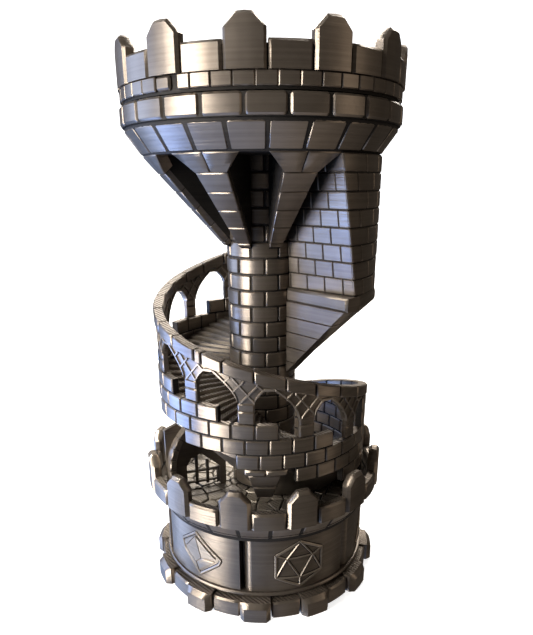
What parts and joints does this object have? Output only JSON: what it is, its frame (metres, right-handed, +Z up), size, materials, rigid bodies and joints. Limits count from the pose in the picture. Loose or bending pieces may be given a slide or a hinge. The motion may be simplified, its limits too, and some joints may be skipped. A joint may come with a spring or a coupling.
{
  "type": "dice tower",
  "caption": "Round castle dice tower: a battlemented hopper drops dice into a brick chute and down an open spiral ramp into a walled tray above a drum of swing-out dice bins.",
  "frame": {"origin": "centre of the face the tower stands on, on the axis of the column", "axes": "+Z up along the column, -Y towards the front of the tray, +X to the right"},
  "size_m": [0.146, 0.146, 0.2994],
  "materials": {
    "masonry": "silk pewter-coloured plastic printed in fine layers",
    "flagstone": "silk pewter-coloured plastic printed in fine layers",
    "plank": "silk pewter-coloured plastic printed in fine layers",
    "drawer_panel": "silk pewter-coloured plastic printed in fine layers",
    "emblem_relief": "silk pewter-coloured plastic printed in fine layers",
    "plain_print": "silk pewter-coloured plastic printed in fine layers",
    "grille": "silk pewter-coloured plastic printed in fine layers"
  },
  "bodies": {
    "base": {"base_plate": "plain_print", "foot_large_blocks": "masonry", "foot_small_blocks": "masonry", "drum_plinth": "plain_print", "hub_post": "plain_print", "drum_dividers": "plain_print", "pivot_pins": "plain_print", "tray_deck": "plain_print", "tray_flagstones": "flagstone", "tray_corbel_ring": "masonry", "tray_merlons": "masonry", "tray_parapet_blocks": "masonry", "gate_wall": "masonry", "gate_arch": "masonry", "gate_guides": "plain_print"},
    "gate": {"portcullis": "grille"},
    "tower": {"column": "masonry", "column_spigot": "plain_print", "ramp_upper": "plank", "ramp_middle": "plank", "ramp_lower": "plank", "spiral_wall_upper": "masonry", "spiral_wall_middle": "masonry", "spiral_wall_lower": "masonry", "wall_corbel": "masonry", "handrail_upper": "masonry", "handrail_lower": "masonry", "arcade_pillars": "masonry", "chute_side_wall": "masonry", "chute_outer_wall": "masonry", "chute_portal": "plain_print", "chute_ledge": "masonry", "hopper_corbels": "masonry", "hopper_bowl": "masonry", "hopper_ring": "masonry", "hopper_funnel": "plain_print"},
    "crown": {"crown_band": "masonry", "crown_spigot": "plain_print", "crown_merlons": "masonry", "crown_parapet_blocks": "masonry"},
    "bin_d20": {"drawer_d20": "drawer_panel", "emblem_d20": "emblem_relief"},
    "bin_d4": {"drawer_d4": "drawer_panel", "emblem_d4": "emblem_relief"},
    "bin_d6": {"drawer_d6": "drawer_panel", "emblem_d6": "emblem_relief"},
    "bin_d12": {"drawer_d12": "drawer_panel", "emblem_d12": "emblem_relief"},
    "bin_d8": {"drawer_d8": "drawer_panel", "emblem_d8": "emblem_relief"},
    "bin_d10": {"drawer_d10": "drawer_panel", "emblem_d10": "emblem_relief"}
  },
  "joints": [
    {"name": "gate_lift", "type": "slide", "parent": "base", "child": "gate", "axis": [0, 0, 1], "range_m": [0, 0.01]},
    {"name": "tower_lift", "type": "slide", "parent": "base", "child": "tower", "axis": [0, 0, 1], "range_m": [0, 0.03]},
    {"name": "crown_lift", "type": "slide", "parent": "tower", "child": "crown", "axis": [0, 0, 1], "range_m": [0, 0.02]},
    {"name": "swing_d20", "type": "hinge", "parent": "base", "child": "bin_d20", "pos_m": [-0.00593, -0.05749, 0.0315], "axis": [0, 0, -1], "range_deg": [0, 75]},
    {"name": "swing_d4", "type": "hinge", "parent": "base", "child": "bin_d4", "pos_m": [0.04682, -0.03389, 0.0315], "axis": [0, 0, -1], "range_deg": [0, 75]},
    {"name": "swing_d6", "type": "hinge", "parent": "base", "child": "bin_d6", "pos_m": [0.05276, 0.02361, 0.0315], "axis": [0, 0, -1], "range_deg": [0, 75]},
    {"name": "swing_d12", "type": "hinge", "parent": "base", "child": "bin_d12", "pos_m": [0.00593, 0.05749, 0.0315], "axis": [0, 0, -1], "range_deg": [0, 75]},
    {"name": "swing_d8", "type": "hinge", "parent": "base", "child": "bin_d8", "pos_m": [-0.04682, 0.03389, 0.0315], "axis": [0, 0, -1], "range_deg": [0, 75]},
    {"name": "swing_d10", "type": "hinge", "parent": "base", "child": "bin_d10", "pos_m": [-0.05276, -0.02361, 0.0315], "axis": [0, 0, -1], "range_deg": [0, 75]}
  ]
}
